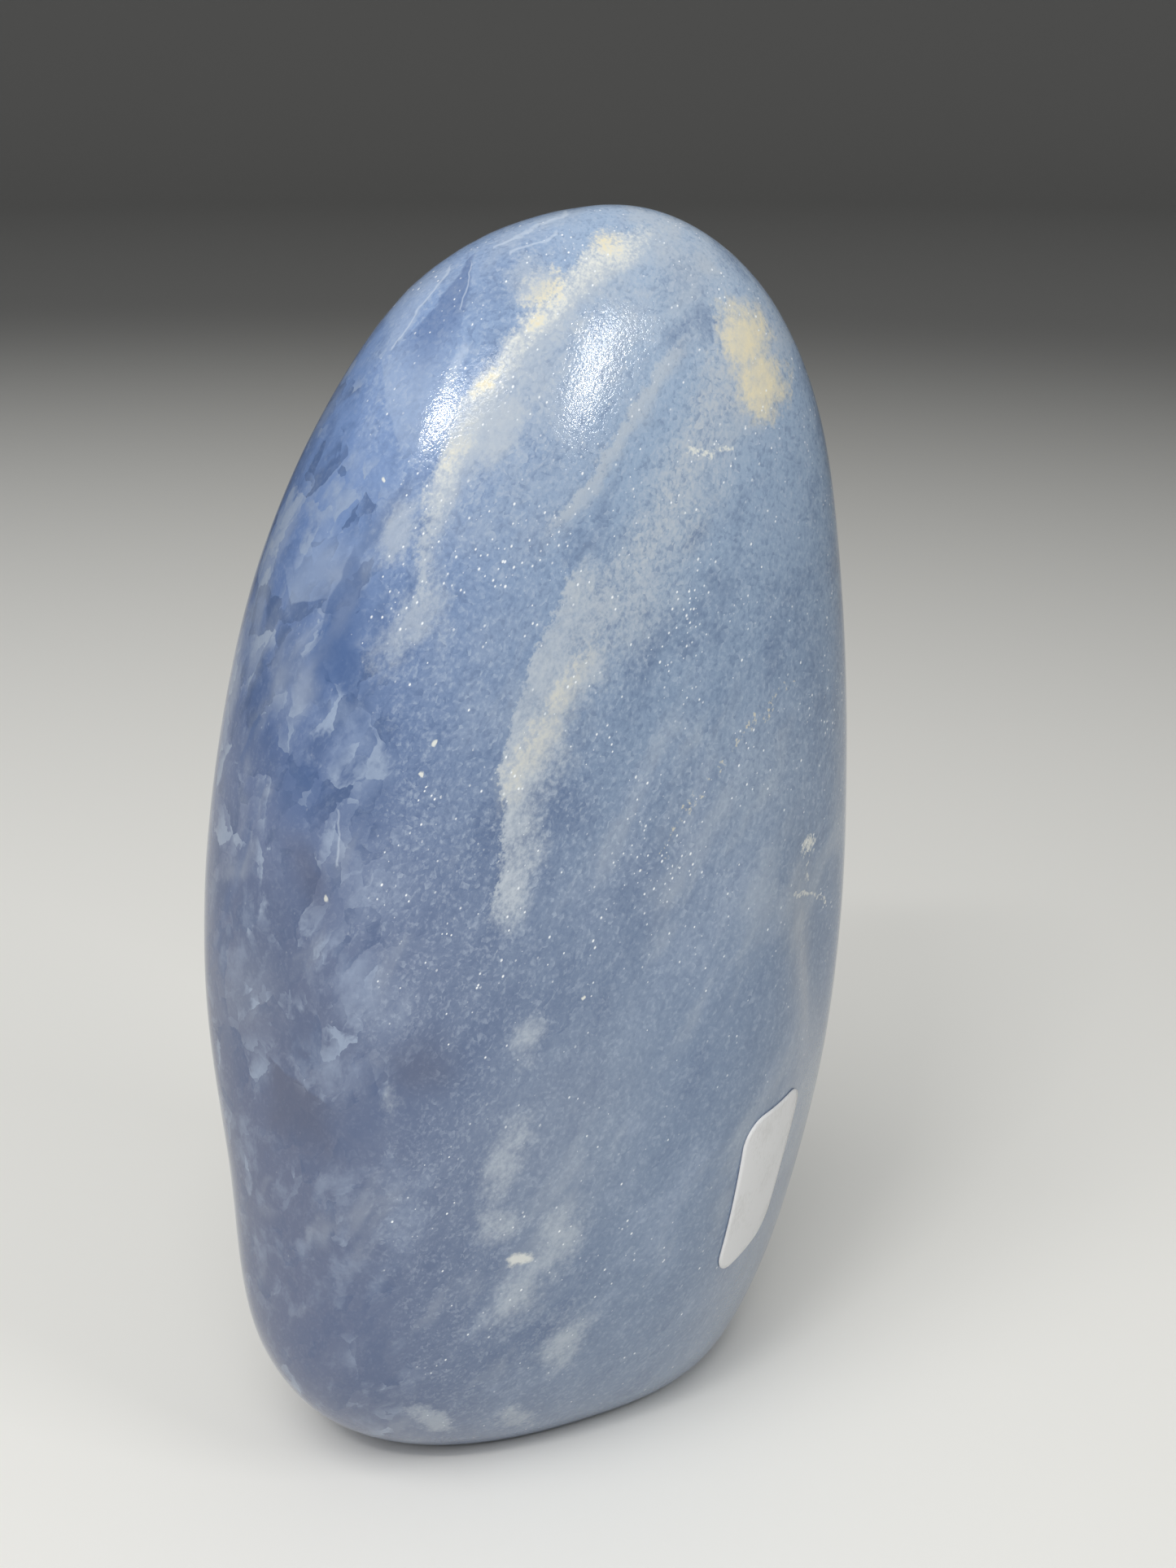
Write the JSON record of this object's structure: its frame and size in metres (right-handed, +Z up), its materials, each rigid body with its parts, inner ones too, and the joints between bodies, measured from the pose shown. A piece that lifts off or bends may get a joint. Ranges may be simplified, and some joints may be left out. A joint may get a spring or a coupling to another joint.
{
  "type": "polished blue calcite freeform",
  "caption": "Tall rounded standing stone of polished blue calcite with a flat sawn base and a small blank paper label.",
  "frame": {"origin": "middle of the object's box, on the plane of the sawn base that it stands on", "axes": "+Z up through the crown, +X along the broad width, -Y the way the broad labelled face looks"},
  "size_m": [0.0534, 0.037, 0.102],
  "materials": {
    "blue_calcite": "ground and polished, soft gloss, faintly see-into, pale and cream veins",
    "label_paper": "smooth white coated paper"
  },
  "bodies": {
    "root": {"stone": "blue_calcite", "label": "label_paper"}
  },
  "joints": []
}
